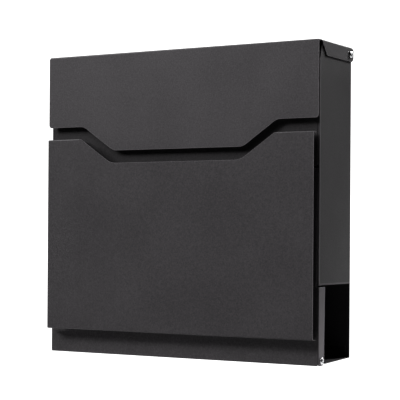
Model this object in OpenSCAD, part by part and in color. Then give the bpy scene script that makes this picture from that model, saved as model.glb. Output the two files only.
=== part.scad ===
// Wall mounted mailbox of folded sheet steel, with a lift-up lid, a fold-down front door
// behind a raised facing panel, and an open-ended newspaper compartment at the bottom.
// The wall is the plane y = 0 and the front faces -Y. The origin is the centre of the four
// wall holes. Inside the modules, heights are counted from the bottom edge of the box.

/* [Box] */
// Width over the lid's side flanges
lid_w = 370; // [340:1:420]
// Height from the bottom edge to the lid's top face
box_h = 364.4; // [356:0.2:380]
// Depth of the box from its back to its front plane
body_depth = 84; // [80:1:100]
// Gap between the box's back and the wall, made by the pressed bosses
wall_gap = 5.5; // [5.5:0.5:8]
// Thickness of the steel sheet
sheet = 0.8; // [0.7:0.1:0.9]
// Outer radius of the folds
fold_r = 1.3; // [1.2:0.1:1.6]
// Side gap between a moving sheet and the fixed sheet beside it
side_gap = 0.5; // [0.4:0.1:0.6]

/* [Lid] */
// Distance of the flap's face in front of the box's front plane
flap_proud = 5.4; // [4.2:0.1:6]
// Height of the flap at its two ends
flap_end_h = 87.6; // [84:0.2:90]
// Height of the lid's side flanges
flange_h = 16.6; // [15.6:0.2:18]
// Distance that the lid's rear edge stands behind the box's back
lid_rear_over = 3.55; // [3:0.05:3.6]
// Radius of the rolled rear edge
rear_roll_r = 4; // [3.8:0.1:4.2]

/* [Facing panel] */
// Distance of the facing panel's face in front of the box's front plane
panel_proud = 11.4; // [10:0.2:14]
// Width of the facing panel
panel_w = 363.6; // [340:0.4:366]
// Height of the panel's lower edge above the box's bottom edge
panel_low = 29; // [24:1:34]
// Upright distance between the flap's edge and the panel's edge
shadow_gap = 15.2; // [14:0.2:18]
// Depth of the trapezoid notch shared by the flap and the panel
notch_drop = 30; // [26:1:32]
// Half length of the notch's level middle stretch
notch_in = 89; // [80:1:95]
// Half width of the notch at its mouth
notch_out = 133; // [128:1:138]
// Radius of the flap's upper notch corners
flap_out_r = 14; // [8:1:20]
// Radius of the flap's lower notch corners
flap_in_r = 18; // [8:1:24]
// Radius of the panel's upper notch corners
panel_out_r = 3; // [2:1:10]
// Radius of the panel's lower notch corners
panel_in_r = 24; // [10:1:30]
// Depth of the panel's folded lips
lip_depth = 8; // [5:0.5:8.5]

/* [Door and compartments] */
// Height of the newspaper opening's top edge
news_h = 89.8; // [86:0.2:94]
// Depth of the door's exposed side flanges at their top
strip_depth = 16.8; // [16:0.2:18]
// Depth of the door's exposed side flanges at their bottom
strip_low_depth = 14.8; // [14.6:0.2:16]
// Upward slope of the newspaper compartment's floor, in degrees
floor_tilt = 1.9; // [0:0.1:2.4]
// Height of the door's top edge
door_h = 222; // [218:1:224]
// Distance of the door's hinge axis behind the front plane
door_axis_back = 7.5; // [7:0.1:8]
// Height of the door's hinge axis
door_axis_h = 5.5; // [5.2:0.1:6]

/* [Wall holes] */
// Distance between the wall holes across the box
wall_hole_span = 250; // [200:10:280]
// Distance between the wall holes up the box
wall_hole_rise = 200; // [160:10:210]
// Radius of the wall holes
wall_hole_r = 3; // [2.5:0.5:3.5]

/* [Hardware] */
// Radius of the M4 screws' shanks
screw_r = 2; // [2:0.1:2.2]
// Radius of the pan heads
head_r = 3.9; // [3.6:0.1:4.2]
// Radial clearance of a hinge hole on its screw
hinge_play = 0.06; // [0.04:0.01:0.08]

/* [Hidden] */
$fn = 64;

steel = [0.22, 0.21, 0.22];
zinc = [0.78, 0.79, 0.8];
brass = [0.72, 0.6, 0.33];
rubber = [0.07, 0.07, 0.07];

// Box planes
body_w = lid_w - 2 * (sheet + side_gap);
side_in = body_w / 2 - sheet;
back_y = -wall_gap;
back_in = back_y - sheet;
front_y = back_y - body_depth;
front_in = front_y + sheet;
hem_in = side_in - sheet;
hem_depth = 9;
body_top = box_h - 4.4;
mount_h = 220;

// Lid
lid_front = front_y - flap_proud;
lid_rear = back_y + lid_rear_over;
lid_axis_y = back_y - 5.25;
lid_axis_h = box_h - 8.4;
lid_corner_relief = 7.7;
flange_slant = 13.7;
flange_corner_r = 6;
flap_corner_r = 4;
flap_end_low = box_h - flap_end_h;

// Facing panel
panel_front = front_y - panel_proud;
panel_end_high = flap_end_low - shadow_gap;
stud_x = 150;
stud_heights = [60, 196];

// Door
door_w = 2 * (hem_in - side_gap);
strip_top = news_h - 1.8;
tray_low = news_h + 3.2;
tray_depth = 14;
door_axis_y = front_y + door_axis_back;
keeper_y = front_y + 14.5;
keeper_drop = 10;
strip_corner_r = 5;
ear_x = side_in - side_gap;
ear_r = 5;

// Compartments
flange_in = 12;
floor_low = 1.1;
floor_front = door_axis_y - 4.2;
floor_back = floor_low + tan(floor_tilt) * (back_in - door_axis_y);
mail_floor_low = news_h + sheet;
mail_floor_front = front_in + 1.6;
upper_low = door_h + 1.5;
upper_high = box_h - 20;
side_chamfer_y = 4.7;
side_chamfer_h = 15.1;
boss_r = 9;
boss_foot_r = 17;
rivet_x = side_in - 7;

// Hardware
head_h = 2.2;
washer_r = 4.4;
washer_h = 0.8;
nut_af = 7;
nut_h = 3.2;
head_play = 0.3;
rivet_r = 1.6;
rivet_tail_r = 2.4;
rivet_head_r = 3.2;
rivet_head_h = 1;
rivet_dome_r = 6;
bumper_r = 5;
spacer_r = 4.5;

// Lock
lock_h = 262;
lock_proud = 2.3;
lock_bezel_r = 11;
lock_barrel_r = 8;
lock_barrel_end = front_y + 16;
lock_plug_r = 5.5;
lock_nut_af = 20;
lock_nut_h = 3;
lock_tang = 6;
cam_h = 1.5;
cam_w = 12;
cam_reach = 48;
cam_front = lock_barrel_end + 0.3;
cam_screw_r = 1.9;

// Counts the heights from the box's bottom edge
module from_bottom() {
    translate([0, 0, -mount_h]) children();
}

// Runs an outline in X and Z along Y, from y_front back to y_back
module along_y(y_front, y_back) {
    translate([0, y_back, 0]) rotate([90, 0, 0]) linear_extrude(y_back - y_front) children();
}

// Runs an outline in Y and Z along X, from x_low to x_high
module along_x(x_low, x_high) {
    translate([x_low, 0, 0])
        rotate([90, 0, 90]) linear_extrude(x_high - x_low) children();
}

// A round rod along Y
module rod_y(r, y_front, y_back, x = 0, z = 0) {
    translate([x, y_back, z]) rotate([90, 0, 0]) cylinder(r = r, h = y_back - y_front);
}

// A quarter ring with its fold in quadrant [sx, sy] of the fold's centre
module fold(sx, sy, r = fold_r) {
    intersection() {
        difference() {
            circle(r);
            circle(r - sheet);
        }
        translate([sx < 0 ? -r : 0, sy < 0 ? -r : 0]) square(r);
    }
}

// A channel in plan: a web of width w at y = 0 and two side flanges that run to y = d
module channel(w, d) {
    translate([-w / 2 + fold_r, 0]) square([w - 2 * fold_r, sheet]);
    for (s = [-1, 1]) {
        translate([s > 0 ? w / 2 - sheet : -w / 2, fold_r]) square([sheet, d - fold_r]);
        translate([s * (w / 2 - fold_r), fold_r]) fold(s, -1);
    }
}

// Points of an arc of radius r round c, from angle a to angle b
function arc(c, r, a, b, n = 6) =
    [for (i = [0:n]) c + r * [cos(a + (b - a) * i / n), sin(a + (b - a) * i / n)]];

// Rounds corner b of the path a-b-c to radius r, as points of the arc that joins its sides
function round_corner(a, b, c, r) =
    let (
        u = (a - b) / norm(a - b),
        v = (c - b) / norm(c - b),
        half = acos(u * v) / 2,
        centre = b + (u + v) / norm(u + v) * r / sin(half),
        start = b + u * r / tan(half) - centre,
        finish = b + v * r / tan(half) - centre,
        from = atan2(start[1], start[0]),
        turn = atan2(finish[1], finish[0]) - from,
        sweep = turn > 180 ? turn - 360 : turn < -180 ? turn + 360 : turn
    )
    arc(centre, r, from, from + sweep, 5);

// The trapezoid notch line from left to right, with its ends at height high and half width w,
// and with corners of radius out_r at the ends and in_r at the level middle stretch
function notch_line(w, high, out_r, in_r) =
    let (
        p = [
            [-w, high], [-notch_out, high], [-notch_in, high - notch_drop],
            [notch_in, high - notch_drop], [notch_out, high], [w, high]
        ]
    )
    concat(
        [p[0]],
        [
            for (i = [1:4])
                each round_corner(p[i - 1], p[i], p[i + 1], i % 3 == 1 ? out_r : in_r)
        ],
        [p[5]]
    );

// An M4 pan head screw along Z, with its head's seat at z = 0 and its shank below
module pan_screw(length) {
    difference() {
        union() {
            translate([0, 0, -length]) cylinder(r = screw_r, h = length);
            intersection() {
                cylinder(r = head_r, h = head_h);
                translate([0, 0, head_h - 2 * head_r]) sphere(r = 2 * head_r);
            }
        }
        for (a = [0, 90])
            rotate(a) translate([-2, -0.45, head_h - 1.2]) cube([4, 0.9, 2]);
    }
}

module washer() {
    difference() {
        cylinder(r = washer_r, h = washer_h);
        translate([0, 0, -1]) cylinder(r = screw_r + 0.15, h = washer_h + 2);
    }
}

module hex_nut(af, h, bore_r) {
    difference() {
        cylinder(r = af / 2 / cos(30), h = h, $fn = 6);
        translate([0, 0, -1]) cylinder(r = bore_r, h = h + 2);
    }
}

// Places a part on both ends of a hinge axis at [y, h], with its +Z pointing out of the box
module on_hinge_ends(x, y, h) {
    for (s = [-1, 1])
        translate([s * x, y, h]) rotate([0, s * 90, 0]) children();
}

// Places a part on the box's back at each wall hole, with its +Z pointing to the front
module on_wall_holes() {
    for (x = [-1, 1], z = [-1, 1])
        translate([x * wall_hole_span / 2, 0, mount_h + z * wall_hole_rise / 2])
            rotate([90, 0, 0]) children();
}

// A pressed boss along Z: a flat face at z = 0, and a cone that widens to the back sheet
module boss() {
    rotate_extrude()
        polygon([
            [0, 0], [boss_r, 0], [boss_foot_r, wall_gap], [boss_foot_r, wall_gap + sheet],
            [boss_foot_r - sheet, wall_gap + sheet], [boss_r - 0.4, sheet], [0, sheet]
        ]);
}

module back_panel() {
    color(steel) from_bottom() difference() {
        union() {
            difference() {
                along_y(back_in, back_y)
                    translate([-body_w / 2, floor_back]) square([body_w, body_top - floor_back]);
                on_wall_holes() cylinder(r = boss_foot_r - sheet, h = 20);
            }
            on_wall_holes() boss();
        }
        on_wall_holes() translate([0, 0, -1]) cylinder(r = wall_hole_r, h = 4);
        rivet_holes();
    }
}

// Side panel on the right: its skin, a hem along its front edge, a rear flange, and a bottom
// flange under the mail floor
module side_skin() {
    hem_low = news_h + fold_r + sheet;
    hem_high = body_top - side_chamfer_h - sheet;
    difference() {
        union() {
            along_x(side_in, body_w / 2)
                polygon([
                    [front_y + sheet, news_h + fold_r], [front_y + sheet, hem_high],
                    [front_y + side_chamfer_y, body_top], [back_in, body_top],
                    [back_in, news_h + fold_r]
                ]);
            translate([0, 0, hem_low]) linear_extrude(hem_high - hem_low) {
                translate([side_in, front_y + sheet]) circle(sheet);
                translate([hem_in, front_y + sheet]) square([sheet, hem_depth]);
            }
            along_y(front_y + sheet, back_in)
                translate([body_w / 2 - fold_r, news_h + fold_r]) fold(1, -1);
            translate([side_in - flange_in, mail_floor_front + fold_r, news_h])
                cube([flange_in + sheet - fold_r, back_in - mail_floor_front - fold_r, sheet]);
            translate([side_in - flange_in, back_in - sheet, mail_floor_low + sheet])
                cube([flange_in, sheet, body_top - 14 - mail_floor_low]);
        }
        translate([0, lid_axis_y, lid_axis_h]) rotate([0, 90, 0]) cylinder(r = screw_r, h = lid_w);
        rivet_holes();
    }
}

module side_panel_right() {
    color(steel) from_bottom() side_skin();
}

module side_panel_left() {
    color(steel) from_bottom() mirror([1, 0, 0]) side_skin();
}

// Fixed plate behind the flap, with folds on all four edges and the lock's hole
module upper_front_plate() {
    high = upper_high;
    color(steel) from_bottom() difference() {
        union() {
            translate([0, front_y, upper_low + fold_r])
                linear_extrude(high - upper_low - 2 * fold_r) channel(2 * hem_in, 10);
            for (e = [[upper_low, 1], [high, -1]]) {
                along_x(-hem_in + 2 * fold_r, hem_in - 2 * fold_r) {
                    translate([front_y + fold_r, e[0] + e[1] * fold_r]) fold(-1, -e[1]);
                    translate([front_y + fold_r, e[1] > 0 ? e[0] : e[0] - sheet])
                        square([8 - fold_r, sheet]);
                }
            }
        }
        rod_y(lock_barrel_r, front_y - 5, front_y + 5, 0, lock_h);
    }
}

module mail_floor() {
    floor_w = body_w - 2 * fold_r;
    lip_w = 2 * side_in - 4.8;
    lip_h = 8;
    rear_h = 14;
    color(steel) from_bottom() difference() {
        union() {
            translate([-lip_w / 2, mail_floor_front + fold_r, mail_floor_low])
                cube([lip_w, tray_depth, sheet]);
            translate([-floor_w / 2, front_y + tray_depth + 1, mail_floor_low])
                cube([floor_w, body_depth - tray_depth - 1 - sheet, sheet]);
            along_x(-lip_w / 2, lip_w / 2) {
                translate([mail_floor_front + fold_r, mail_floor_low + sheet - fold_r]) fold(-1, 1);
                translate([mail_floor_front, mail_floor_low - lip_h])
                    square([sheet, lip_h + sheet - fold_r]);
            }
            translate([-side_in + flange_in + 2, back_in - sheet, mail_floor_low])
                cube([2 * (side_in - flange_in - 2), sheet, rear_h]);
        }
        rivet_holes();
    }
}

// Floor of the newspaper compartment. It rises towards the back. An ear stands up at each front
// corner for the door's hinge, and the floor is notched round the hinge's nut
module bottom_plate() {
    side_start = front_y + strip_depth + 2;
    notch_back = door_axis_y + ear_r + 0.2;
    notch_w = sheet + washer_h + nut_h + 1.2;
    sheet_back = back_in - 0.4;
    color(steel) from_bottom() difference() {
        union() {
            tilted_floor() {
                difference() {
                    translate([-ear_x + fold_r, floor_front, floor_low])
                        cube([2 * (ear_x - fold_r), sheet_back - floor_front, sheet]);
                    for (s = [-1, 1])
                        translate([s * ear_x - notch_w, floor_front - 1, floor_low - 1])
                            cube([2 * notch_w, notch_back - floor_front + 1, sheet + 2]);
                }
                translate([-body_w / 2 + 0.3, side_start, floor_low])
                    cube([body_w - 0.6, sheet_back - side_start, sheet]);
                for (s = [-1, 1])
                    along_y(notch_back, side_start)
                        translate([s * (ear_x - fold_r), floor_low + fold_r]) fold(s, -1);
            }
            translate([-side_in + 4, back_in - sheet, floor_back])
                cube([2 * (side_in - 4), sheet, 14]);
            for (s = [-1, 1])
                along_x(s > 0 ? ear_x - sheet : -ear_x, s > 0 ? ear_x : -ear_x + sheet)
                    hinge_ear();
        }
        translate([-lid_w, door_axis_y, door_axis_h])
            rotate([0, 90, 0]) cylinder(r = screw_r, h = 2 * lid_w);
        rivet_holes();
    }
}

// Turns the level floor about its line below the door's axis, so that its back rises
module tilted_floor() {
    translate([0, door_axis_y, floor_low]) rotate([floor_tilt, 0, 0])
        translate([0, -door_axis_y, -floor_low]) children();
}

// Outline of a hinge ear in Y and Z, above its fold
module hinge_ear() {
    foot = floor_low + fold_r;
    translate([door_axis_y, door_axis_h]) circle(ear_r);
    translate([door_axis_y, foot])
        square([strip_low_depth - door_axis_back - 0.6, door_axis_h + 2 - foot]);
}

// Places of the blind rivets that hold the sides and both floors to the back
function rivet_places() = concat(
    [for (s = [-1, 1], z = [122, 190, 258, 326]) [s * rivet_x, z]],
    [for (x = [-140, -47, 47, 140], z = [floor_back + 8, mail_floor_low + 8]) [x, z]]
);

module rivet_holes() {
    for (p = rivet_places()) rod_y(rivet_r, back_in - 5, back_y + 5, p[0], p[1]);
}

module back_rivets() {
    color(zinc) from_bottom()
        for (p = rivet_places()) {
            rod_y(rivet_r, back_in - sheet, back_y, p[0], p[1]);
            rod_y(rivet_tail_r, back_in - sheet - 1.2, back_in - sheet, p[0], p[1]);
            translate([p[0], back_y, p[1]]) rotate([-90, 0, 0]) intersection() {
                cylinder(r = rivet_head_r, h = rivet_head_h);
                translate([0, 0, rivet_head_h - rivet_dome_r]) sphere(r = rivet_dome_r);
            }
        }
}

// Flap outline: square upper corners, rounded lower corners and the notch line
module flap_outline(top) {
    w = lid_w / 2;
    polygon(concat(
        [[-w, top]],
        arc([-w + flap_corner_r, flap_end_low + flap_corner_r], flap_corner_r, 180, 270),
        notch_line(w - flap_corner_r, flap_end_low, flap_out_r, flap_in_r),
        arc([w - flap_corner_r, flap_end_low + flap_corner_r], flap_corner_r, 270, 360),
        [[w, top]]
    ));
}

// Side flange of the lid, in Y and Z, below the fold at its top
module flange_outline() {
    low = box_h - flange_h;
    high = box_h - fold_r;
    slope = flange_slant / flange_h;
    r = flange_corner_r;
    polygon([
        [lid_front + lid_corner_relief + fold_r * slope, high],
        [lid_front + lid_corner_relief + flange_slant, low],
        [lid_rear - r, low], [lid_rear - r, high]
    ]);
    translate([lid_rear - r, low + r]) square([r, high - low - r - rear_roll_r + fold_r]);
    translate([lid_rear - r, low + r]) circle(r);
    translate([lid_rear - rear_roll_r, box_h - rear_roll_r]) intersection() {
        circle(rear_roll_r);
        translate([-rear_roll_r, -rear_roll_r]) square([2 * rear_roll_r, 2 * rear_roll_r - fold_r]);
    }
}

module lid() {
    plate_w = lid_w - 2 * fold_r;
    front_r = 1.6;
    color(steel) from_bottom() difference() {
        union() {
            along_y(lid_front, lid_front + sheet) flap_outline(box_h - front_r);
            along_x(-plate_w / 2, plate_w / 2) {
                translate([lid_front + front_r, box_h - front_r]) fold(-1, 1, front_r);
                translate([lid_front + front_r, box_h - sheet])
                    square([lid_rear - rear_roll_r - lid_front - front_r, sheet]);
                translate([lid_rear - rear_roll_r, box_h - rear_roll_r]) fold(1, 1, rear_roll_r);
            }
            for (s = [-1, 1]) {
                along_y(lid_front + lid_corner_relief, lid_rear - rear_roll_r)
                    translate([s * plate_w / 2, box_h - fold_r]) fold(s, 1);
                along_x(s > 0 ? lid_w / 2 - sheet : -lid_w / 2, s > 0 ? lid_w / 2 : sheet - lid_w / 2)
                    flange_outline();
            }
        }
        translate([-lid_w, lid_axis_y, lid_axis_h])
            rotate([0, 90, 0]) cylinder(r = screw_r + hinge_play, h = 2 * lid_w);
    }
}

module lid_hinge_screws() {
    color(zinc) from_bottom()
        on_hinge_ends(lid_w / 2 + head_play, lid_axis_y, lid_axis_h) pan_screw(8);
}

module lid_hinge_washers() {
    color(zinc) from_bottom()
        on_hinge_ends(side_in - washer_h, lid_axis_y, lid_axis_h) washer();
}

module lid_hinge_nuts() {
    color(zinc) from_bottom()
        on_hinge_ends(side_in - washer_h - nut_h, lid_axis_y, lid_axis_h)
            hex_nut(nut_af, nut_h, screw_r);
}

module flap_bumpers() {
    color(rubber) from_bottom()
        for (s = [-1, 1])
            rod_y(bumper_r, lid_front + sheet + head_play, front_y, s * stud_x, flap_end_low + 16);
}

// Door: a tray whose upper part fits between the side panels, and whose lower side flanges
// close the newspaper compartment's front corners
module door_tray() {
    color(steel) from_bottom() difference() {
        union() {
            translate([0, front_y, fold_r])
                linear_extrude(strip_top - fold_r) channel(body_w, strip_depth);
            for (s = [-1, 1])
                along_x(s > 0 ? side_in : -body_w / 2, s > 0 ? body_w / 2 : -side_in)
                    translate([front_y + fold_r, 0]) square([strip_depth - fold_r, fold_r + 1]);
            along_x(-body_w / 2 + fold_r, body_w / 2 - fold_r)
                translate([front_y + fold_r, fold_r]) fold(-1, -1);
            along_y(front_y, front_in)
                translate([-door_w / 2 + fold_r, strip_top - 1])
                    square([door_w - 2 * fold_r, tray_low - strip_top + 2]);
            translate([0, front_y, tray_low])
                linear_extrude(door_h - fold_r - tray_low) channel(door_w, tray_depth);
            along_x(-door_w / 2 + 2 * fold_r, door_w / 2 - 2 * fold_r) {
                translate([front_y + fold_r, door_h - fold_r]) fold(-1, 1);
                translate([front_y + fold_r, door_h - sheet])
                    square([keeper_y - front_y - 2 * fold_r, sheet]);
                translate([keeper_y - fold_r, door_h - fold_r]) fold(1, 1);
                translate([keeper_y - sheet, door_h - keeper_drop])
                    square([sheet, keeper_drop - fold_r]);
            }
        }
        for (s = [-1, 1]) strip_waste(s);
        translate([-lid_w, door_axis_y, door_axis_h])
            rotate([0, 90, 0]) cylinder(r = screw_r + hinge_play, h = 2 * lid_w);
        for (s = [-1, 1], z = stud_heights)
            rod_y(screw_r + 0.2, front_y - 5, front_y + 5, s * stud_x, z);
    }
}

// Waste behind a strip's slanted rear edge and round its lower rear corner
module strip_waste(s) {
    r = strip_corner_r;
    corner = front_y + strip_low_depth;
    along_x(s > 0 ? side_in - 1 : -side_in - 2, s > 0 ? side_in + 2 : -side_in + 1) {
        polygon([
            [corner, r], [front_y + strip_depth, strip_top],
            [front_y + strip_depth + 1, strip_top + 1], [front_y + strip_depth + 1, r]
        ]);
        difference() {
            translate([corner - r, -1]) square([strip_depth, r + 1]);
            translate([corner - r, r]) circle(r);
        }
    }
}

// Facing panel: a flat face, with lips folded back along its lower edge and at both ends of its
// upper edge
module facing_panel() {
    w = panel_w / 2;
    end_start = notch_out + panel_out_r;
    color(steel) from_bottom() {
        along_y(panel_front, panel_front + sheet) difference() {
            polygon(concat(
                [[-w, panel_low]],
                notch_line(w, panel_end_high, panel_out_r, panel_in_r),
                [[w, panel_low]]
            ));
            for (s = [-1, 1])
                translate([s > 0 ? end_start : -w - 1, panel_end_high - fold_r])
                    square([w + 1 - end_start, 2 * fold_r]);
            translate([-w - 1, panel_low - 1]) square([panel_w + 2, fold_r + 1]);
        }
        panel_lip(-w, -end_start, panel_end_high, 1);
        panel_lip(end_start, w, panel_end_high, 1);
        panel_lip(-w, w, panel_low, -1);
    }
}

// A folded lip from x_low to x_high, along an upper edge (side 1) or a lower edge (side -1)
module panel_lip(x_low, x_high, edge_h, side) {
    along_x(x_low, x_high) {
        translate([panel_front + fold_r, edge_h - side * fold_r]) fold(-1, side);
        translate([panel_front + fold_r, side > 0 ? edge_h - sheet : edge_h])
            square([lip_depth - fold_r, sheet]);
    }
}

module on_studs() {
    for (s = [-1, 1], z = stud_heights)
        translate([s * stud_x, 0, z]) children();
}

module panel_studs() {
    color(zinc) from_bottom() on_studs() rod_y(screw_r, panel_front + sheet, front_in + 5);
}

module panel_spacers() {
    color(zinc) from_bottom() on_studs() difference() {
        rod_y(spacer_r, panel_front + sheet, front_y);
        rod_y(screw_r, panel_front, front_y + 1);
    }
}

module panel_washers() {
    color(zinc) from_bottom() on_studs()
        translate([0, front_in + washer_h, 0]) rotate([90, 0, 0]) washer();
}

module panel_nuts() {
    color(zinc) from_bottom() on_studs()
        translate([0, front_in + washer_h + nut_h, 0])
            rotate([90, 0, 0]) hex_nut(nut_af, nut_h, screw_r);
}

module door_hinge_screws() {
    color(zinc) from_bottom()
        on_hinge_ends(body_w / 2 + head_play, door_axis_y, door_axis_h) pan_screw(7.5);
}

module door_hinge_washers() {
    color(zinc) from_bottom()
        on_hinge_ends(ear_x - sheet - washer_h, door_axis_y, door_axis_h) washer();
}

module door_hinge_nuts() {
    color(zinc) from_bottom()
        on_hinge_ends(ear_x - sheet - washer_h - nut_h, door_axis_y, door_axis_h)
            hex_nut(nut_af, nut_h, screw_r);
}

module lock_body() {
    color(zinc) from_bottom() difference() {
        union() {
            rod_y(lock_bezel_r, front_y - lock_proud, front_y, 0, lock_h);
            rod_y(lock_barrel_r, front_y, lock_barrel_end, 0, lock_h);
        }
        rod_y(lock_plug_r + hinge_play, front_y - 10, lock_barrel_end + 1, 0, lock_h);
    }
}

module lock_nut() {
    color(zinc) from_bottom()
        translate([0, front_in + lock_nut_h, lock_h])
            rotate([90, 0, 0]) hex_nut(lock_nut_af, lock_nut_h, lock_barrel_r);
}

module lock_plug() {
    face = front_y - lock_proud + 0.3;
    color(brass) from_bottom() difference() {
        union() {
            rod_y(lock_plug_r, face, cam_front, 0, lock_h);
            translate([-lock_tang / 2, cam_front, lock_h - lock_tang / 2])
                cube([lock_tang, cam_h, lock_tang]);
        }
        translate([-0.7, face - 1, lock_h - 4]) cube([1.4, 9, 8]);
        rod_y(cam_screw_r, cam_front - 6, cam_front + 5, 0, lock_h);
    }
}

module lock_cam() {
    color(zinc) from_bottom() difference() {
        along_y(cam_front, cam_front + cam_h) {
            translate([0, lock_h]) circle(cam_w / 2);
            translate([0, lock_h - cam_w / 2]) square([cam_reach - cam_w / 2, cam_w]);
            translate([cam_reach - cam_w / 2, lock_h]) circle(cam_w / 2);
        }
        translate([-lock_tang / 2, cam_front - 1, lock_h - lock_tang / 2])
            cube([lock_tang, cam_h + 2, lock_tang]);
    }
}

module cam_screw() {
    color(zinc) from_bottom() {
        rod_y(cam_screw_r, cam_front - 6, cam_front + cam_h, 0, lock_h);
        rod_y(4.2, cam_front + cam_h, cam_front + cam_h + 2.2, 0, lock_h);
    }
}

back_panel();
side_panel_left();
side_panel_right();
upper_front_plate();
mail_floor();
bottom_plate();
back_rivets();
lid();
lid_hinge_screws();
lid_hinge_washers();
lid_hinge_nuts();
flap_bumpers();
door_tray();
facing_panel();
panel_studs();
panel_spacers();
panel_washers();
panel_nuts();
door_hinge_screws();
door_hinge_washers();
door_hinge_nuts();
lock_body();
lock_nut();
lock_plug();
lock_cam();
cam_screw();
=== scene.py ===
# Wall mounted mailbox of folded sheet steel with an anthracite powder coat, bright zinc-plated
# hinge screws and a cam lock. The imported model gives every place; lengths are metres.
import math

import bmesh
import bpy
from mathutils import Matrix, Vector


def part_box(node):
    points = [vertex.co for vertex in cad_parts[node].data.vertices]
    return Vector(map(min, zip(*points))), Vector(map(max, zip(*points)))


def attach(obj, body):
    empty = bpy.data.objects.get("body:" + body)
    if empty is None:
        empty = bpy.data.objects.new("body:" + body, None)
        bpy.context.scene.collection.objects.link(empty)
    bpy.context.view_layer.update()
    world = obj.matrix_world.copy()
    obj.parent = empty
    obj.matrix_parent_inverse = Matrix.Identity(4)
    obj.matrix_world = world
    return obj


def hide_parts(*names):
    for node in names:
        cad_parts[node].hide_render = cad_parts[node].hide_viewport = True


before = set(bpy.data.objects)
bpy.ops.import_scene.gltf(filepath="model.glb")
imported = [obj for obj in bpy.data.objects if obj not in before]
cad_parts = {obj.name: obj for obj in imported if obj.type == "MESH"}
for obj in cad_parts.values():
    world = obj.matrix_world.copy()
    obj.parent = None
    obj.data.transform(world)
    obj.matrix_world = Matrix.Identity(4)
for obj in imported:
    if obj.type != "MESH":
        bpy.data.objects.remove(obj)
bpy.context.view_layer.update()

MM = 0.001


# ---------------------------------------------------------------- camera

# Yaw, pitch and roll in degrees, lens and sensor width in millimetres.
CAMERA_TURN = (30.380, 0.171, 0.358)
CAMERA_PLACE = (0.84466, -1.47899, -0.07360)
LENS, SENSOR_WIDTH, SHIFT_UP = 124.02, 36, 0.075


def make_camera():
    """A long lens, a little below the box's middle, 30 degrees to the right of its front."""
    yaw, pitch, roll = (math.radians(angle) for angle in CAMERA_TURN)
    data = bpy.data.cameras.new("camera")
    data.lens = LENS
    data.sensor_width = SENSOR_WIDTH
    data.shift_y = SHIFT_UP
    camera = bpy.data.objects.new("camera", data)
    turn = (
        Matrix.Rotation(yaw, 4, "Z")
        @ Matrix.Rotation(math.pi / 2 + pitch, 4, "X")
        @ Matrix.Rotation(roll, 4, "Z")
    )
    camera.matrix_world = Matrix.Translation(CAMERA_PLACE) @ turn
    bpy.context.scene.collection.objects.link(camera)
    bpy.context.scene.camera = camera


# ---------------------------------------------------------------- lights and floor

# Name, degrees round from the box's front, degrees up, side, power in watts and distance.
LIGHTS = (
    ("key_low", -63, 25, 2.0, 330, 10),
    ("key_high", -60, 36, 2.0, 400, 10),
    ("key_front", -12, 49.5, 0.6, 8, 2),
    ("key_top", -25, 70, 0.5, 7.4, 1.2),
    ("rim_right", 152, 36, 0.5, 34, 2),
    ("rim_low", 152, -8, 0.8, 3, 2),
)
LIGHTS_AIM = Vector((0, -0.05, -0.03))
FLOOR_GREY, FLOOR_ROUGHNESS = (0.8, 0.8, 0.8, 1), 0.7


def studio_light(name, azimuth, elevation, size, power, distance):
    """A square soft light aimed at the box, at degrees round from its front and up."""
    data = bpy.data.lights.new(name, "AREA")
    data.energy = power
    data.size = size
    light = bpy.data.objects.new(name, data)
    turn, rise = math.radians(azimuth), math.radians(elevation)
    toward = Vector((
        math.sin(turn) * math.cos(rise), -math.cos(turn) * math.cos(rise), math.sin(rise)
    ))
    place = Matrix.Translation(LIGHTS_AIM + toward * distance)
    light.matrix_world = place @ toward.to_track_quat("Z", "Y").to_matrix().to_4x4()
    bpy.context.scene.collection.objects.link(light)


def make_world(seen, lit):
    """A backdrop of the brightness seen, which lights the box with the brightness lit."""
    world = bpy.data.worlds.new("backdrop")
    bpy.context.scene.world = world
    world.use_nodes = True
    nodes, links = world.node_tree.nodes, world.node_tree.links
    nodes.clear()
    output = nodes.new("ShaderNodeOutputWorld")
    mix = nodes.new("ShaderNodeMixShader")
    path = nodes.new("ShaderNodeLightPath")
    for socket, strength in ((1, lit), (2, seen)):
        backdrop = nodes.new("ShaderNodeBackground")
        backdrop.inputs["Color"].default_value = (1, 1, 1, 1)
        backdrop.inputs["Strength"].default_value = strength
        links.new(backdrop.outputs[0], mix.inputs[socket])
    links.new(path.outputs["Is Camera Ray"], mix.inputs[0])
    links.new(mix.outputs[0], output.inputs["Surface"])


def make_floor(height, half):
    """A plain pale floor under the hanging box."""
    mesh = bpy.data.meshes.new("floor")
    bm = bmesh.new()
    bmesh.ops.create_grid(bm, x_segments=8, y_segments=8, size=half)
    bmesh.ops.translate(bm, verts=bm.verts, vec=(0, 0, height))
    bm.to_mesh(mesh)
    bm.free()
    floor = bpy.data.objects.new("floor", mesh)
    bpy.context.scene.collection.objects.link(floor)
    material = bpy.data.materials.new("floor_paint")
    material.use_nodes = True
    paint = material.node_tree.nodes["Principled BSDF"]
    paint.inputs["Base Color"].default_value = FLOOR_GREY
    paint.inputs["Roughness"].default_value = FLOOR_ROUGHNESS
    mesh.materials.append(material)


# ---------------------------------------------------------------- materials

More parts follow.
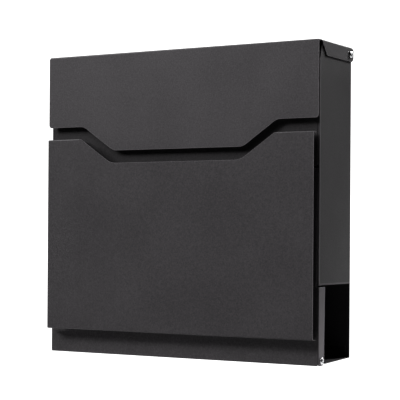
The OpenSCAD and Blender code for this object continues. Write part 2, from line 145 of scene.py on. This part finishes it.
class Shader:
    """A material's node tree, with short calls for the nodes that the finishes share."""

    def __init__(self, name):
        self.material = bpy.data.materials.new(name)
        self.material.use_nodes = True
        self.nodes = self.material.node_tree.nodes
        self.links = self.material.node_tree.links
        self.bsdf = self.nodes["Principled BSDF"]
        self.place = self.nodes.new("ShaderNodeTexCoord").outputs["Object"]

    def noise(self, scale, detail=2.0):
        """Noise with scale in cells per metre."""
        node = self.nodes.new("ShaderNodeTexNoise")
        node.inputs["Scale"].default_value = scale
        node.inputs["Detail"].default_value = detail
        self.links.new(self.place, node.inputs["Vector"])
        return node.outputs["Fac"]

    def split(self, vector):
        """The X, Y and Z outputs of a vector socket."""
        node = self.nodes.new("ShaderNodeSeparateXYZ")
        self.links.new(vector, node.inputs[0])
        return node.outputs

    def remap(self, value, low, high, to_low, to_high):
        """The socket value, stretched from low..high to to_low..to_high and held there."""
        node = self.nodes.new("ShaderNodeMapRange")
        for name, number in (
            ("From Min", low), ("From Max", high), ("To Min", to_low), ("To Max", to_high)
        ):
            node.inputs[name].default_value = number
        self.links.new(value, node.inputs["Value"])
        return node.outputs["Result"]

    def math(self, operation, a, b=None):
        """An operation on one or two values, each a number or a socket."""
        node = self.nodes.new("ShaderNodeMath")
        node.operation = operation
        for i, value in enumerate((a, b)):
            if value is None:
                continue
            if isinstance(value, (int, float)):
                node.inputs[i].default_value = value
            else:
                self.links.new(value, node.inputs[i])
        return node.outputs[0]

    def mix(self, factor, a, b):
        """Colour between a and b, each a colour or a socket, by the socket factor."""
        node = self.nodes.new("ShaderNodeMix")
        node.data_type = "RGBA"
        self.links.new(factor, node.inputs["Factor"])
        for socket, value in (("A", a), ("B", b)):
            target = next(
                s for s in node.inputs if s.name == socket and s.type == "RGBA"
            )
            if isinstance(value, tuple):
                target.default_value = (*value, 1)
            else:
                self.links.new(value, target)
        return next(s for s in node.outputs if s.type == "RGBA")

    def bump(self, height, distance, normal=None):
        """A normal raised by the socket height times distance, on top of any other normal."""
        node = self.nodes.new("ShaderNodeBump")
        node.inputs["Strength"].default_value = 1
        node.inputs["Distance"].default_value = distance
        self.links.new(height, node.inputs["Height"])
        if normal is not None:
            self.links.new(normal, node.inputs["Normal"])
        return node.outputs["Normal"]

    def edges(self, radius, low, high):
        """A mask of the folded and cut edges: where a rounded normal leaves the real one."""
        bevel = self.nodes.new("ShaderNodeBevel")
        bevel.inputs["Radius"].default_value = radius
        geometry = self.nodes.new("ShaderNodeNewGeometry")
        dot = self.nodes.new("ShaderNodeVectorMath")
        dot.operation = "DOT_PRODUCT"
        self.links.new(bevel.outputs["Normal"], dot.inputs[0])
        self.links.new(geometry.outputs["Normal"], dot.inputs[1])
        return self.remap(dot.outputs["Value"], high, low, 0, 1)

    def set(self, **values):
        """Sets the surface's inputs to colours, numbers or sockets."""
        for name, value in values.items():
            socket = self.bsdf.inputs[name.replace("_", " ")]
            if isinstance(value, tuple):
                socket.default_value = (*value, 1)
            elif isinstance(value, (int, float)):
                socket.default_value = value
            else:
                self.links.new(value, socket)


def scaled(colour, factor):
    return tuple(c * factor for c in colour)


COAT_ROUGHNESS, COAT_SPECULAR = 0.55, 0.35
SIDES_BLEND = (-0.215, -0.135)         # heights between which the side faces' painted-light factors blend
FOLD_DEPTH = (0.002, 0.0032)           # behind a side panel's front: its fold's painted highlight band fades here
HEM_HEIGHT = (0.0016, 0.0026)          # above a side panel's bottom: its hem's painted highlight band fades here
FOLD_AND_HEM_HIGHLIGHT, EDGE_WEAR_AND_HIGHLIGHT = 2.4, 3.2      # colour factors of the painted highlight bands and of the edges' wear and painted highlight
WEAR_AND_HIGHLIGHT_REACH = 0.0014
PEBBLE_HEIGHT, GRAIN_HEIGHT = 0.00006, 0.00003


def powder_coat(name, colour, sides=(1.0, 1.0), corner=None):
    """A fine-textured powder coat: a pebbled skin over a slow orange peel, faint cloudy
    variation, and cut edges that are shinier and lighter in colour, partly wear and partly a
    painted highlight. As painted light, the colour of faces that look along X is scaled by the
    factors sides, the first at the box's bottom and the second from a quarter of its height up.
    With a side panel's lower front corner, the panel's front fold and hem get a painted
    highlight band."""
    s = Shader(name)
    cloud = s.noise(14, 3)
    speckle = s.noise(620, 3)
    grain = s.noise(1300, 2)
    peel = s.noise(160, 2)
    body = s.mix(s.remap(cloud, 0.3, 0.7, 0, 1), scaled(colour, 0.95), scaled(colour, 1.05))
    body = s.mix(s.remap(speckle, 0.52, 0.72, 0, 0.5), body, scaled(colour, 1.5))
    body = s.mix(s.remap(speckle, 0.48, 0.3, 0, 0.5), body, scaled(colour, 0.6))
    # Painted light: faces that look along X get the colour scaled by sides, standing for how
    # light falls on the sides, blending from sides[0] low down to sides[1] higher up.
    if sides != (1.0, 1.0):
        geometry = s.nodes.new("ShaderNodeNewGeometry")
        across = s.math("ABSOLUTE", s.split(geometry.outputs["True Normal"])["X"])
        painted_side_light = s.mix(
            s.remap(s.split(s.place)["Z"], *SIDES_BLEND, 0, 1),
            scaled(colour, sides[0]), scaled(colour, sides[1])
        )
        body = s.mix(s.remap(across, 0.6, 0.95, 0, 0.85), body, painted_side_light)
    # Painted highlight: a lighter band along the side panel's front fold and along its hem.
    if corner is not None:
        place = s.split(s.place)
        fold = s.remap(place["Y"], *(corner.y + depth for depth in FOLD_DEPTH), 1, 0)
        hem = s.remap(place["Z"], *(corner.z + height for height in HEM_HEIGHT), 1, 0)
        body = s.mix(s.math("MAXIMUM", fold, hem), body, scaled(colour, FOLD_AND_HEM_HIGHLIGHT))
    # Edges: partly wear and partly a painted highlight, a lighter colour along cut and folded
    # edges where they catch light; the wear also lowers the roughness there.
    patchy = s.remap(grain, 0.3, 0.6, 0.4, 1)
    worn_and_highlit = s.math("MULTIPLY", s.edges(WEAR_AND_HIGHLIGHT_REACH, 0.8, 0.97), patchy)
    body = s.mix(worn_and_highlit, body, scaled(colour, EDGE_WEAR_AND_HIGHLIGHT))
    rough = s.remap(cloud, 0.3, 0.7, COAT_ROUGHNESS - 0.05, COAT_ROUGHNESS + 0.05)
    rough = s.math("SUBTRACT", rough, s.math("MULTIPLY", worn_and_highlit, 0.12))
    normal = s.bump(peel, PEBBLE_HEIGHT)
    normal = s.bump(speckle, PEBBLE_HEIGHT, normal)
    normal = s.bump(grain, GRAIN_HEIGHT, normal)
    s.set(Base_Color=body, Roughness=rough, Normal=normal, Specular_IOR_Level=COAT_SPECULAR)
    return s.material


TARNISH = 0.12


def plated(name, colour, roughness):
    """Bright metal with a fine grain and a little uneven dulling."""
    s = Shader(name)
    cloud = s.noise(420, 3)
    grain = s.noise(900, 2)
    body = s.mix(s.remap(cloud, 0.35, 0.7, 0, 1), colour, scaled(colour, 1 - TARNISH))
    rough = s.remap(cloud, 0.3, 0.7, roughness - 0.06, roughness + 0.08)
    s.set(Base_Color=body, Metallic=1.0, Roughness=rough, Normal=s.bump(grain, 0.00001))
    return s.material


def moulded_rubber(name, colour):
    s = Shader(name)
    skin = s.noise(1800, 2)
    body = s.mix(s.remap(s.noise(300, 2), 0.3, 0.7, 0, 1), colour, scaled(colour, 1.5))
    s.set(
        Base_Color=body, Roughness=s.remap(skin, 0.3, 0.7, 0.65, 0.85),
        Normal=s.bump(skin, 0.00003), Specular_IOR_Level=0.3
    )
    return s.material


ANTHRACITE = (0.046, 0.0435, 0.046)
materials = {
    "shell_paint": powder_coat("shell_paint", ANTHRACITE),
    "side_paint": powder_coat("side_paint", ANTHRACITE, corner=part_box("side_panel_left")[0]),
    # Painted light: lid, door and panel carry the shell's same anthracite coat; their larger
    # factors make lit copies of it, and the lid's and door's side factors paint how light falls
    # on their side faces.
    "lid_paint": powder_coat("lid_paint", scaled(ANTHRACITE, 1.68), sides=(0.92, 0.92)),
    "door_paint": powder_coat("door_paint", scaled(ANTHRACITE, 1.65), sides=(3.25, 1.75)),
    "panel_paint": powder_coat("panel_paint", scaled(ANTHRACITE, 1.48)),
    "zinc_plate": plated("zinc_plate", (0.86, 0.87, 0.88), 0.4),
    "rivet_metal": plated("rivet_metal", (0.62, 0.63, 0.64), 0.4),
    "rubber": moulded_rubber("rubber", (0.018, 0.018, 0.018)),
    "lock_chrome": plated("lock_chrome", (0.72, 0.73, 0.75), 0.16),
    "lock_brass": plated("lock_brass", (0.72, 0.56, 0.28), 0.28),
    "cam_steel": plated("cam_steel", (0.5, 0.51, 0.52), 0.36),
}


# ---------------------------------------------------------------- sheets

SHEETS = {
    "back_panel": "shell_paint",
    "side_panel_left": "side_paint",
    "side_panel_right": "side_paint",
    "upper_front_plate": "shell_paint",
    "mail_floor": "shell_paint",
    "bottom_plate": "shell_paint",
    "lid": "lid_paint",
    "door_tray": "door_paint",
    "facing_panel": "panel_paint",
}


WELD_REACH = 0.00001
SHEET_EDGE, SHEET_SHARP = 0.0002, 35       # width of a broken edge, and its least angle


def finish_sheet(name, slot):
    """Gives a sheet its paint, and breaks its sharp edges as a cut edge under paint is."""
    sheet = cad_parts[name]
    sheet.data.materials.clear()
    sheet.data.materials.append(materials[slot])
    weld = sheet.modifiers.new("weld", "WELD")
    weld.merge_threshold = WELD_REACH
    bevel = sheet.modifiers.new("edges", "BEVEL")
    bevel.width = SHEET_EDGE
    bevel.segments = 2
    bevel.limit_method = "ANGLE"
    bevel.angle_limit = math.radians(SHEET_SHARP)
    bevel.harden_normals = True


for name, slot in SHEETS.items():
    finish_sheet(name, slot)


# ---------------------------------------------------------------- turned and threaded pieces

# Millimetres, as is every shape that is drawn here.
M4_R, M4_DEPTH, PITCH = 2.0, 0.28, 0.7      # thread radius, thread depth and pitch
HEAD_R, HEAD_H = 3.9, 2.2
WASHER_R, WASHER_BORE, WASHER_EDGE = 4.4, 2.15, 0.12
NUT_FLATS, RING_NUT_FLATS, LOCK_R = 7, 20, 8.0
THREAD_RINGS = 6                            # rings of vertices in each turn of a thread


def solids(node):
    """Boxes (low, high) of a CAD node's separate solids, in order of X, then Y, then Z."""
    bm = bmesh.new()
    bm.from_mesh(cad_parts[node].data)
    bmesh.ops.remove_doubles(bm, verts=bm.verts, dist=0.000001)
    todo, boxes = set(bm.verts), []
    while todo:
        island, frontier = set(), [todo.pop()]
        while frontier:
            vert = frontier.pop()
            island.add(vert)
            near = {e.other_vert(vert) for e in vert.link_edges} & todo
            todo -= near
            frontier.extend(near)
        places = [v.co for v in island]
        boxes.append(tuple(
            Vector(pick(p[i] for p in places) for i in range(3)) for pick in (min, max)
        ))
    bm.free()
    return sorted(boxes, key=lambda box: tuple(round(c, 5) for c in box[0]))


def middle_of(low, high):
    return (low + high) / 2


def upright(origin, direction):
    """Maps a shape drawn in millimetres along +Z to origin, pointing along direction."""
    turn = Vector(direction).to_track_quat("Z", "Y").to_matrix().to_4x4()
    return Matrix.Translation(origin) @ turn @ Matrix.Scale(MM, 4)


def seated(low, high, axis):
    """The length along axis of a solid's box, in millimetres, and the upright map there."""
    length = abs((high - low).dot(axis)) / MM
    return length, upright(middle_of(low, high) - axis * length * MM / 2, axis)


def from_y(middle, y, way=1):
    """The upright map of a shape that starts at y in line with middle, along way on Y."""
    return upright(Vector((middle.x, y, middle.z)), (0, way, 0))


def turned(bm, place, outline, steps=48, ring=False):
    """A solid turned about Z. The outline lists (radius, height) pairs, or functions of the
    angle that give one. A ring's outline closes on itself; any other starts and ends at
    radius 0."""
    loops = []
    for point in outline:
        loop = []
        if not callable(point) and point[0] == 0:
            loop.append(bm.verts.new(place @ Vector((0, 0, point[1]))))
        else:
            for i in range(steps):
                angle = math.tau * i / steps
                radius, height = point(angle) if callable(point) else point
                spot = Vector((radius * math.cos(angle), radius * math.sin(angle), height))
                loop.append(bm.verts.new(place @ spot))
        loops.append(loop)
    ends = loops[1:] + loops[:1] if ring else loops[1:]
    for low, high in zip(loops, ends):
        for i in range(steps):
            j = (i + 1) % steps
            corners = [
                low[i % len(low)], low[j % len(low)], high[j % len(high)], high[i % len(high)]
            ]
            bm.faces.new(list(dict.fromkeys(corners)))


def thread(radius, depth, pitch, low, high):
    """Outline functions of a screw thread between two heights, fading out at both ends."""
    count = max(2, round((high - low) / pitch * THREAD_RINGS))

    def ring(height):
        fade = min(1, (height - low) / pitch, (high - height) / pitch)

        def point(angle):
            phase = (height / pitch - angle / math.tau) % 1
            cut = 1 - abs(2 * phase - 1)
            return radius - depth * (0.15 + 0.85 * cut * max(0, fade)), height

        return point

    return [ring(low + (high - low) * i / count) for i in range(count + 1)]


def piece(name, bm, body, slot, *nodes, sharp=40, edge=0.00006):
    """Makes a piece of the mesh bm, which rides on body and stands for the CAD nodes."""
    bmesh.ops.recalc_face_normals(bm, faces=bm.faces)
    mesh = bpy.data.meshes.new(name)
    bm.to_mesh(mesh)
    bm.free()
    mesh.shade_smooth()
    mesh.set_sharp_from_angle(angle=math.radians(sharp))
    mesh.materials.append(materials[slot])
    made = bpy.data.objects.new(name, mesh)
    bpy.context.scene.collection.objects.link(made)
    if edge:
        bevel = made.modifiers.new("edges", "BEVEL")
        bevel.width = edge
        bevel.segments = 2
        bevel.limit_method = "ANGLE"
        bevel.angle_limit = math.radians(sharp)
    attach(made, body)
    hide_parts(*nodes)


def carve(bm, cutter):
    """Takes the closed mesh cutter out of the closed mesh bm, and returns the result."""
    objects = []
    for label, shape in (("carved", bm), ("cutter", cutter)):
        bmesh.ops.recalc_face_normals(shape, faces=shape.faces)
        mesh = bpy.data.meshes.new(label)
        shape.to_mesh(mesh)
        shape.free()
        objects.append(bpy.data.objects.new(label, mesh))
        bpy.context.scene.collection.objects.link(objects[-1])
    boolean = objects[0].modifiers.new("carve", "BOOLEAN")
    boolean.operation = "DIFFERENCE"
    boolean.solver = "EXACT"
    boolean.object = objects[1]
    evaluated = objects[0].evaluated_get(bpy.context.evaluated_depsgraph_get())
    result = bmesh.new()
    result.from_mesh(evaluated.to_mesh())
    for made in objects:
        mesh = made.data
        bpy.data.objects.remove(made)
        bpy.data.meshes.remove(mesh)
    return result


def prism(bm, place, corners, low, high, taper=1.0):
    """A prism over (x, y) corners between two heights; its low end is scaled by taper."""
    rings = [
        [bm.verts.new(place @ Vector((x * k, y * k, z))) for x, y in corners]
        for z, k in ((low, taper), (high, 1.0))
    ]
    bm.faces.new(rings[0][::-1])
    bm.faces.new(rings[1])
    for i in range(len(corners)):
        j = (i + 1) % len(corners)
        bm.faces.new((rings[0][i], rings[0][j], rings[1][j], rings[1][i]))


def cross(half, wing):
    """Corners of a cross recess with arms of length half and half width wing."""
    quarter = [(half, -wing), (half, wing), (wing, wing)]
    corners = []
    for turn in range(4):
        for x, y in quarter:
            for _ in range(turn):
                x, y = -y, x
            corners.append((x, y))
    return corners


def square(half):
    return [(-half, -half), (half, -half), (half, half), (-half, half)]


def dome(radius, low, high):
    """Outline of a low dome, from just inside its edge at low to its top at high."""
    steps = 8
    return [
        (radius * math.cos(math.pi / 2 * i / steps),
         low + (high - low) * math.sin(math.pi / 2 * i / steps))
        for i in range(1, steps)
    ] + [(0, high)]


def pan_head_screws(name, node):
    """Pan head screws with a cross recess, which point away from the box's middle in X."""
    bm, cutter = bmesh.new(), bmesh.new()
    for low, high in solids(node):
        out = Vector((1, 0, 0)) if middle_of(low, high).x > 0 else Vector((-1, 0, 0))
        length, place = seated(low, high, out)
        seat = length - HEAD_H
        outline = [(0, 0), (M4_R * 0.7, 0)]
        outline += thread(M4_R, M4_DEPTH, PITCH, 0.35, seat)
        outline += [(HEAD_R - 0.25, seat), (HEAD_R, seat + 0.2), (HEAD_R, seat + 0.75)]
        outline += dome(HEAD_R, seat + 0.75, length)
        turned(bm, place, outline)
        recess = cross(0.5 * HEAD_R, 0.11 * HEAD_R)
        prism(cutter, place, recess, length - 1.1, length + 0.4, 0.8)
    piece(name, carve(bm, cutter), "box", "zinc_plate", node, edge=0.00005)


def washers(name, body, node, axis):
    bm = bmesh.new()
    for low, high in solids(node):
        thick, place = seated(low, high, Vector(axis))
        turned(bm, place, [
            (WASHER_BORE, 0), (WASHER_R - WASHER_EDGE, 0), (WASHER_R, WASHER_EDGE),
            (WASHER_R, thick - WASHER_EDGE), (WASHER_R - WASHER_EDGE, thick),
            (WASHER_BORE, thick)
        ], ring=True)
    piece(name, bm, body, "zinc_plate", node)


def hex_nuts(name, body, node, flats, bore, axis):
    """Hexagon nuts with chamfered corners and a countersunk bore."""
    bm = bmesh.new()
    chamfer_r = flats / 2 * 0.97

    def corner(angle):
        return flats / 2 / math.cos((angle + math.pi / 6) % (math.pi / 3) - math.pi / 6)

    def side(height, sign):
        def point(angle):
            drop = max(0, corner(angle) - chamfer_r) * math.tan(math.radians(30))
            return corner(angle), height - sign * drop
        return point

    for low, high in solids(node):
        thick, place = seated(low, high, Vector(axis))
        turned(bm, place, [
            (bore, 0.4), (bore + 0.35, 0), (chamfer_r, 0), side(0, -1), side(thick, 1),
            (chamfer_r, thick), (bore + 0.35, thick), (bore, thick - 0.4)
        ], steps=72, ring=True)
    piece(name, bm, body, "zinc_plate", node, sharp=25)


pan_head_screws("lid_screws", "lid_hinge_screws")
pan_head_screws("door_screws", "door_hinge_screws")
washers("lid_washers", "box", "lid_hinge_washers", (1, 0, 0))
washers("door_washers", "box", "door_hinge_washers", (1, 0, 0))
washers("stud_washers", "door", "panel_washers", (0, 1, 0))
hex_nuts("lid_nuts", "box", "lid_hinge_nuts", NUT_FLATS, M4_R, (1, 0, 0))
hex_nuts("door_nuts", "box", "door_hinge_nuts", NUT_FLATS, M4_R, (1, 0, 0))
hex_nuts("stud_nuts", "door", "panel_nuts", NUT_FLATS, M4_R, (0, 1, 0))
hex_nuts("lock_ring_nut", "box", "lock_nut", RING_NUT_FLATS, LOCK_R, (0, 1, 0))


def studs_and_spacers():
    """Threaded studs welded to the facing panel, and turned spacer tubes around them."""
    bm = bmesh.new()
    for low, high in solids("panel_studs"):
        length = (high.y - low.y) / MM
        place = from_y(middle_of(low, high), low.y)
        outline = [(0, 0), (1.95, 0)]
        outline += thread(M4_R, M4_DEPTH, PITCH, 0.3, length - 0.35)
        turned(bm, place, outline + [(1.5, length), (0, length)], steps=32)
    piece("threaded_studs", bm, "door", "zinc_plate", "panel_studs")
    bm = bmesh.new()
    for low, high in solids("panel_spacers"):
        length = (high.y - low.y) / MM
        place = from_y(middle_of(low, high), low.y)
        turned(bm, place, [
            (2.05, 0), (4.1, 0), (4.5, 0.4), (4.5, length - 0.4), (4.1, length), (2.05, length)
        ], ring=True)
    piece("spacer_tubes", bm, "door", "zinc_plate", "panel_spacers")


def blind_rivets():
    """Domed rivets with the mandrel's end in the head's hole, and a squeezed tail inside."""
    bm = bmesh.new()
    for low, high in solids("back_rivets"):
        length = (high.y - low.y) / MM
        place = from_y(middle_of(low, high), high.y, -1)
        turned(bm, place, [
            (0, 0.75), (0.75, 0.7), (0.85, 0.12), (1.05, 0), (2.0, 0.16), (2.8, 0.45),
            (3.15, 0.75), (3.2, 0.92), (3.1, 1.0), (1.6, 1.0), (1.6, length - 1.2),
            (2.05, length - 1.15), (2.38, length - 0.75), (2.3, length - 0.35),
            (1.8, length - 0.08), (1.1, length), (0.9, length - 0.05), (0, length - 0.3)
        ], steps=36)
    piece("blind_rivets", bm, "box", "rivet_metal", "back_rivets", edge=0)


def rubber_bumpers():
    bm = bmesh.new()
    for low, high in solids("flap_bumpers"):
        height = (high.y - low.y) / MM
        place = from_y(middle_of(low, high), high.y, -1)
        turned(bm, place, [
            (0, 0), (4.9, 0), (5.0, 0.15), (4.9, height * 0.55), (4.6, height * 0.85),
            (4.1, height * 0.97), (3.5, height), (1.6, height), (1.2, height - 0.25),
            (0.6, height - 0.5), (0, height - 0.55)
        ])
    piece("rubber_bumpers", bm, "box", "rubber", "flap_bumpers", edge=0)


def cam_lock():
    """Lock body with a stepped bezel and a threaded barrel, a plug with a keyway, a stamped
    cam and its screw."""
    low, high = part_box("lock_body")
    middle = middle_of(low, high)
    length = (high.y - low.y) / MM
    place = from_y(middle, low.y)
    bm = bmesh.new()
    turned(bm, place, [
        (5.58, 0.75), (6.3, 0.55), (7.0, 0.5), (8.2, 0.5), (8.7, 0.1), (9.3, 0),
        (10.2, 0.1), (10.8, 0.55), (11.0, 1.1), (11.0, 2.1), (10.8, 2.3)
    ] + thread(LOCK_R, 0.45, 1.0, 2.3, length - 0.5) + [
        (7.4, length), (5.9, length), (5.58, length - 0.3)
    ], steps=64, ring=True)
    piece("lock_barrel", bm, "box", "lock_chrome", "lock_body", edge=0)

    low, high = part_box("lock_plug")
    tang = 1.5
    length = (high.y - low.y) / MM - tang
    place = from_y(middle, low.y)
    bm, cutter = bmesh.new(), bmesh.new()
    turned(bm, place, [(0, 0), (5.0, 0), (5.4, 0.15), (5.5, 0.5), (5.5, length), (0, length)])
    prism(cutter, place, [
        (-0.6, -4), (0.6, -4), (0.6, -1.6), (1.1, -1.6), (1.1, -0.4), (0.6, -0.4), (0.6, 1.2),
        (0.1, 1.2), (0.1, 2.4), (0.6, 2.4), (0.6, 4), (-0.6, 4)
    ], -1, 8)
    bm = carve(bm, cutter)
    prism(bm, place, square(3), length - 0.2, length + tang)
    piece("keyed_plug", bm, "lock", "lock_brass", "lock_plug")

    low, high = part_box("cam_screw")
    head = 2.2
    place = from_y(middle, high.y)
    length = (high.y - low.y) / MM
    bm, cutter = bmesh.new(), bmesh.new()
    outline = [(0, -length), (1.3, -length)]
    outline += thread(1.9, 0.25, PITCH, -length + 0.4, -head)
    outline += [(4.0, -head), (4.2, -head + 0.2), (4.2, -1.3)] + dome(4.2, -1.3, 0)
    turned(bm, place, outline)
    prism(cutter, place, cross(2.1, 0.45), -1.2, 0.4, 0.8)
    piece("cam_head_screw", carve(bm, cutter), "lock", "zinc_plate", "cam_screw")

    low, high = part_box("lock_cam")
    thick = (high.y - low.y) / MM
    reach, half = (high.x - middle.x) / MM, (high.z - low.z) / 2 / MM
    outline = [
        (half * math.cos(a), half * math.sin(a))
        for a in (math.radians(90 + 180 * i / 16) for i in range(17))
    ] + [
        (reach - half + half * math.cos(a), half * math.sin(a))
        for a in (math.radians(-90 + 180 * i / 16) for i in range(17))
    ]
    place = (
        Matrix.Translation((middle.x, low.y, middle.z))
        @ Matrix.Rotation(-math.pi / 2, 4, "X")
        @ Matrix.Scale(MM, 4)
    )
    bm, cutter = bmesh.new(), bmesh.new()
    prism(bm, place, outline, 0, thick)
    prism(cutter, place, square(3.02), -1, thick + 1)
    piece("stamped_cam", carve(bm, cutter), "lock", "cam_steel", "lock_cam", edge=0.0002)


studs_and_spacers()
blind_rivets()
rubber_bumpers()
cam_lock()


# ---------------------------------------------------------------- the scene

make_camera()
make_world(seen=1.0, lit=0.0)
make_floor(height=-0.62, half=1.2)
for light in LIGHTS:
    studio_light(*light)

bpy.context.scene.view_settings.view_transform = "Standard"
bpy.context.scene.view_settings.look = "High Contrast"
